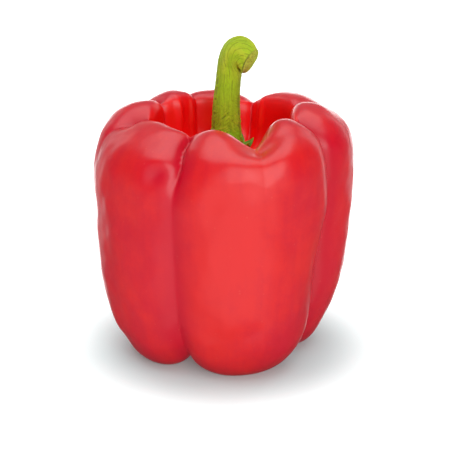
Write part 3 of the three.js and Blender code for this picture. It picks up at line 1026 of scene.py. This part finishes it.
def soft_window(rule, direction, turn, rise, wide, tall, edge):
    """1 inside a soft-edged window of the surroundings, which stands at a turn from the front."""
    turn, rise = turn * RADIAN, rise * RADIAN
    facing = (math.sin(turn) * math.cos(rise), -math.cos(turn) * math.cos(rise), math.sin(rise))
    right = (math.cos(turn), math.sin(turn), 0)
    up = (-math.sin(turn) * math.sin(rise), math.cos(turn) * math.sin(rise), math.cos(rise))
    ahead, across, above = (direction[0] * x + direction[1] * y + direction[2] * z
                            for x, y, z in (facing, right, up))
    across = rule.math("ABSOLUTE", across)
    above = rule.math("ABSOLUTE", above)
    inside = rule.step(wide + edge, wide - edge, across) * rule.step(tall + edge, tall - edge, above)
    return inside * rule.step(0, 0.1, ahead)


def light_surroundings(tree, stage):
    """Room with a bright ceiling and paper behind, a pale front and side, a window and two upright strips."""
    rule = Rule(tree)
    direction = rule.split(rule.node("ShaderNodeTexCoord").outputs["Generated"])
    level = stage.room + rule.step(0.78, 0.93, direction[2]) * stage.ceiling
    level = level + soft_window(rule, direction, 180, 36, 0.6, 0.4, 0.15) * stage.back
    level = level + soft_window(rule, direction, 4, -10, 0.56, 0.6, 0.07) * stage.front
    level = level + soft_window(rule, direction, -85, 36, 0.5, 0.3, 0.15) * stage.side
    level = level + soft_window(rule, direction, 180, -8, 0.38, 0.3, 0.08) * stage.paper
    level = level + soft_window(rule, direction, 14, 25, 0.3, 0.3, 0.08) * stage.window
    for turn in (-140, 140):
        level = level + soft_window(rule, direction, turn, 10, 0.09, 0.5, 0.06) * stage.strips
    background = tree.nodes["Background"]
    background.inputs["Color"].default_value = (1, 1, 1, 1)
    rule.feed(background.inputs["Strength"], level)


class PEPPER_OT_stage(bpy.types.Operator):
    """Set up the pale floor, the soft light and the camera"""

    bl_idname = "pepper.stage"
    bl_label = "Stage"

    def execute(self, context):
        _, colours, stage = settings()
        half = 3.0
        corners = [(-half, -half, 0), (half, -half, 0), (half, half, 0), (-half, half, 0)]
        mesh = bpy.data.meshes.new("Floor")
        mesh.from_pydata(corners, [], [(0, 1, 2, 3)])
        mesh.materials.append(floor_material(colours, stage))
        floor = bpy.data.objects.new("Floor", mesh)
        context.scene.collection.objects.link(floor)
        floor.visible_glossy = False

        world = bpy.data.worlds.new("White surroundings")
        world.use_nodes = True
        light_surroundings(world.node_tree, stage)
        context.scene.world = world

        shift = frame_shift()
        target = Vector((shift[0], shift[1], stage.aim_height))
        away = Vector((0, -math.cos(stage.elevation), math.sin(stage.elevation)))
        camera_data = bpy.data.cameras.new("Camera")
        camera_data.lens = stage.lens
        camera_data.sensor_width = 36
        camera_data.shift_x = VIEW_SHIFT
        camera_data.shift_y = VIEW_SHIFT
        camera = bpy.data.objects.new("Camera", camera_data)
        camera.location = target + away * stage.distance
        camera.rotation_euler = (-away).to_track_quat("-Z", "Y").to_euler()
        context.scene.collection.objects.link(camera)
        context.scene.camera = camera
        context.scene.view_settings.view_transform = "Standard"
        return {"FINISHED"}


class PEPPER_PT_sidebar(bpy.types.Panel):
    """Sizes, colours and makers of the pepper"""

    bl_label = "Bell Pepper"
    bl_idname = "PEPPER_PT_sidebar"
    bl_space_type = "VIEW_3D"
    bl_region_type = "UI"
    bl_category = "Pepper"

    def draw(self, context):
        layout = self.layout
        for operator in (PEPPER_OT_fruit, PEPPER_OT_calyx, PEPPER_OT_stem, PEPPER_OT_stage):
            layout.operator(operator.bl_idname)
        for group in settings():
            box = layout.box()
            for key in group.bl_rna.properties.keys():
                if key not in ("rna_type", "name"):
                    box.prop(group, key)


CLASSES = (
    PepperSizes, PepperColours, PepperStage,
    PEPPER_OT_fruit, PEPPER_OT_calyx, PEPPER_OT_stem, PEPPER_OT_stage, PEPPER_PT_sidebar,
)


def register():
    for cls in CLASSES:
        bpy.utils.register_class(cls)
    bpy.types.Scene.pepper_sizes = PointerProperty(type=PepperSizes)
    bpy.types.Scene.pepper_colours = PointerProperty(type=PepperColours)
    bpy.types.Scene.pepper_stage = PointerProperty(type=PepperStage)


def unregister():
    del bpy.types.Scene.pepper_sizes
    del bpy.types.Scene.pepper_colours
    del bpy.types.Scene.pepper_stage
    for cls in reversed(CLASSES):
        bpy.utils.unregister_class(cls)


def main():
    register()
    bpy.ops.pepper.stage()
    bpy.ops.pepper.fruit()
    bpy.ops.pepper.calyx()
    bpy.ops.pepper.stem()


if __name__ == "__main__":
    main()
